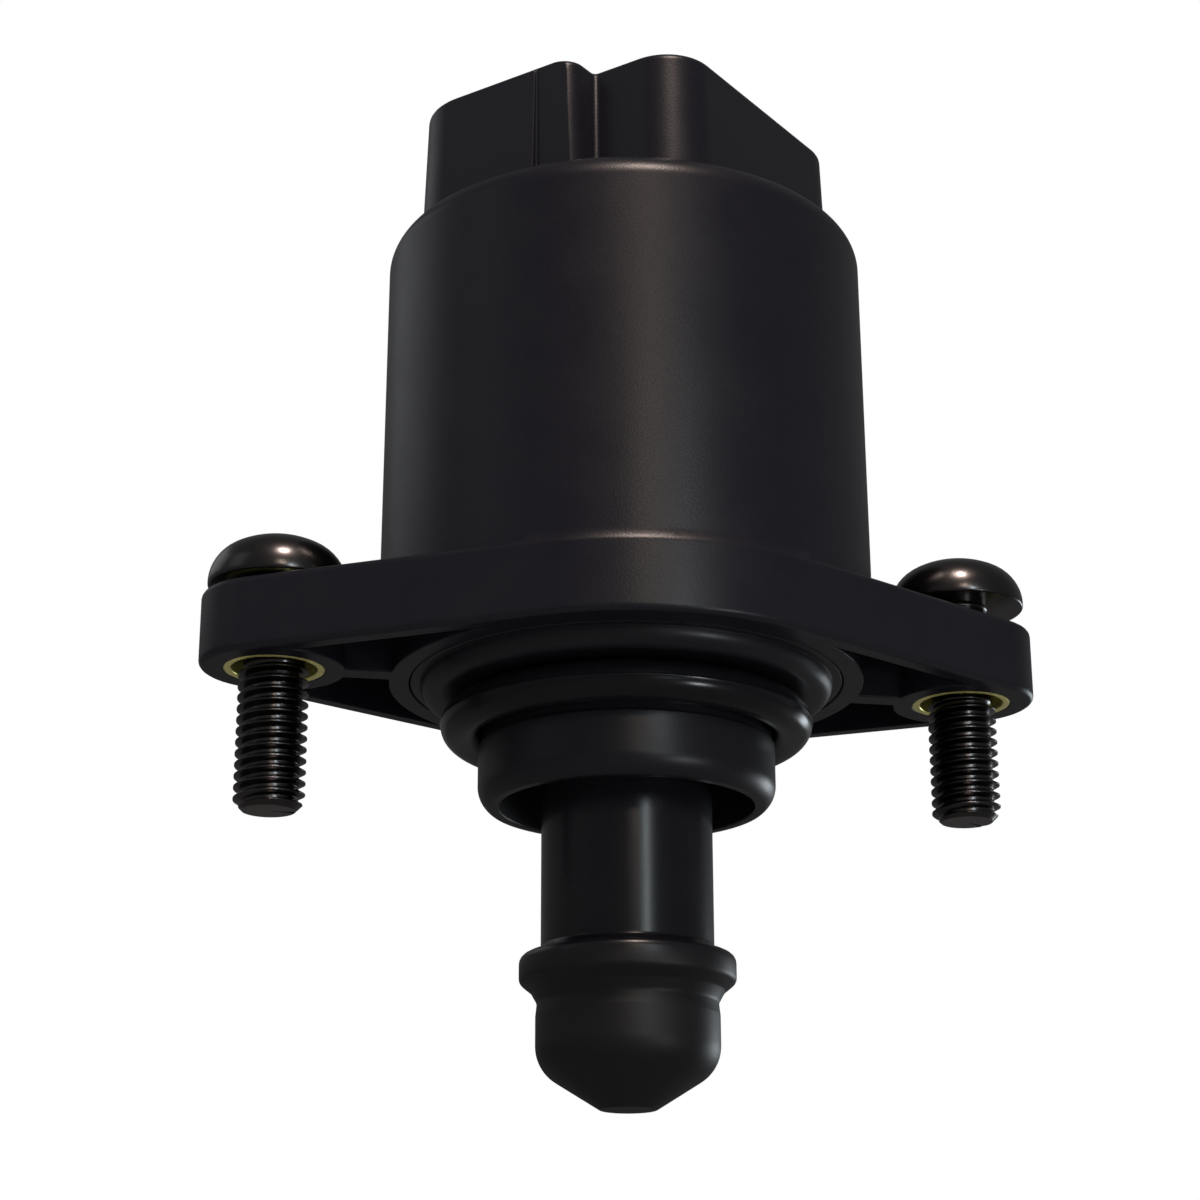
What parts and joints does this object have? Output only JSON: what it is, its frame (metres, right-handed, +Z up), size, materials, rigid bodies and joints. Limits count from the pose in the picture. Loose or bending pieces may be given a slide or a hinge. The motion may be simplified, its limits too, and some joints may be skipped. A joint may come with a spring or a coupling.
{
  "type": "idle air control valve",
  "caption": "Idle air control valve: a stepper motor in a flanged barrel with a plug socket, a sealed spigot and a screw-driven plunger, held by two captive screws.",
  "frame": {"origin": "on the barrel's axis, in the plane of the flange's mounting face", "axes": "+Z up the barrel's axis to the plug socket, away from the air passage; +X along the flange to the right screw; +Y across the flange"},
  "size_m": [0.0604, 0.0358, 0.074],
  "materials": {
    "body_plastic": "glass-filled black moulding, semi-matte",
    "contact_brass": "tinned brass strip",
    "guide_plastic": "black moulding, satin",
    "seal_rubber": "oiled black nitrile, glossy",
    "bearing_steel": "polished bearing steel",
    "cage_plastic": "brown polyamide",
    "stator_steel": "bright zinc-plated sheet",
    "bobbin_plastic": "natural polyamide",
    "copper_wire": "enamelled copper wire",
    "bush_bronze": "sintered bronze",
    "rotor_plastic": "black moulding",
    "magnet_ferrite": "ground ferrite",
    "spring_steel": "drawn spring wire",
    "plunger_plastic": "black moulding, satin gloss",
    "lead_steel": "rolled thread, bright",
    "bush_zinc": "yellow-passivated zinc on steel",
    "screw_steel": "black oxide, slightly oily"
  },
  "bodies": {
    "housing": {"housing": "body_plastic", "terminal_1": "contact_brass", "terminal_2": "contact_brass", "terminal_3": "contact_brass", "terminal_4": "contact_brass", "nose_guide": "guide_plastic", "seal_ring": "seal_rubber", "outer_race": "bearing_steel", "lower_cup": "stator_steel", "lower_pole_plate": "stator_steel", "lower_bobbin": "bobbin_plastic", "lower_winding": "copper_wire", "upper_cup": "stator_steel", "upper_pole_plate": "stator_steel", "upper_bobbin": "bobbin_plastic", "upper_winding": "copper_wire", "rear_bush": "bush_bronze", "bush_left": "bush_zinc", "bush_right": "bush_zinc", "screw_left": "screw_steel", "screw_right": "screw_steel"},
    "rotor": {"rotor_hub": "rotor_plastic", "magnet": "magnet_ferrite", "drive_nut": "bush_bronze", "inner_race": "bearing_steel", "return_spring": "spring_steel"},
    "cage": {"ball_cage": "cage_plastic", "balls": "bearing_steel"},
    "plunger": {"plunger": "plunger_plastic", "lead_screw": "lead_steel"}
  },
  "joints": [
    {"name": "rotor_spin", "type": "hinge", "parent": "housing", "child": "rotor", "pos_m": [0, 0, 0], "axis": [0, 0, -1], "range_deg": [0, 3330]},
    {"name": "cage_spin", "type": "hinge", "parent": "housing", "child": "cage", "pos_m": [0, 0, 0], "axis": [0, 0, -1], "range_deg": [0, 1462]},
    {"name": "plunger_slide", "type": "slide", "parent": "housing", "child": "plunger", "axis": [0, 0, 1], "range_m": [0, 0.00925], "deforming": ["return_spring"]}
  ],
  "couplings": [
    {"joint": "plunger_slide", "follows": "rotor_spin", "m_per_rad": 0.00015915},
    {"joint": "cage_spin", "follows": "rotor_spin", "ratio": 0.439}
  ]
}
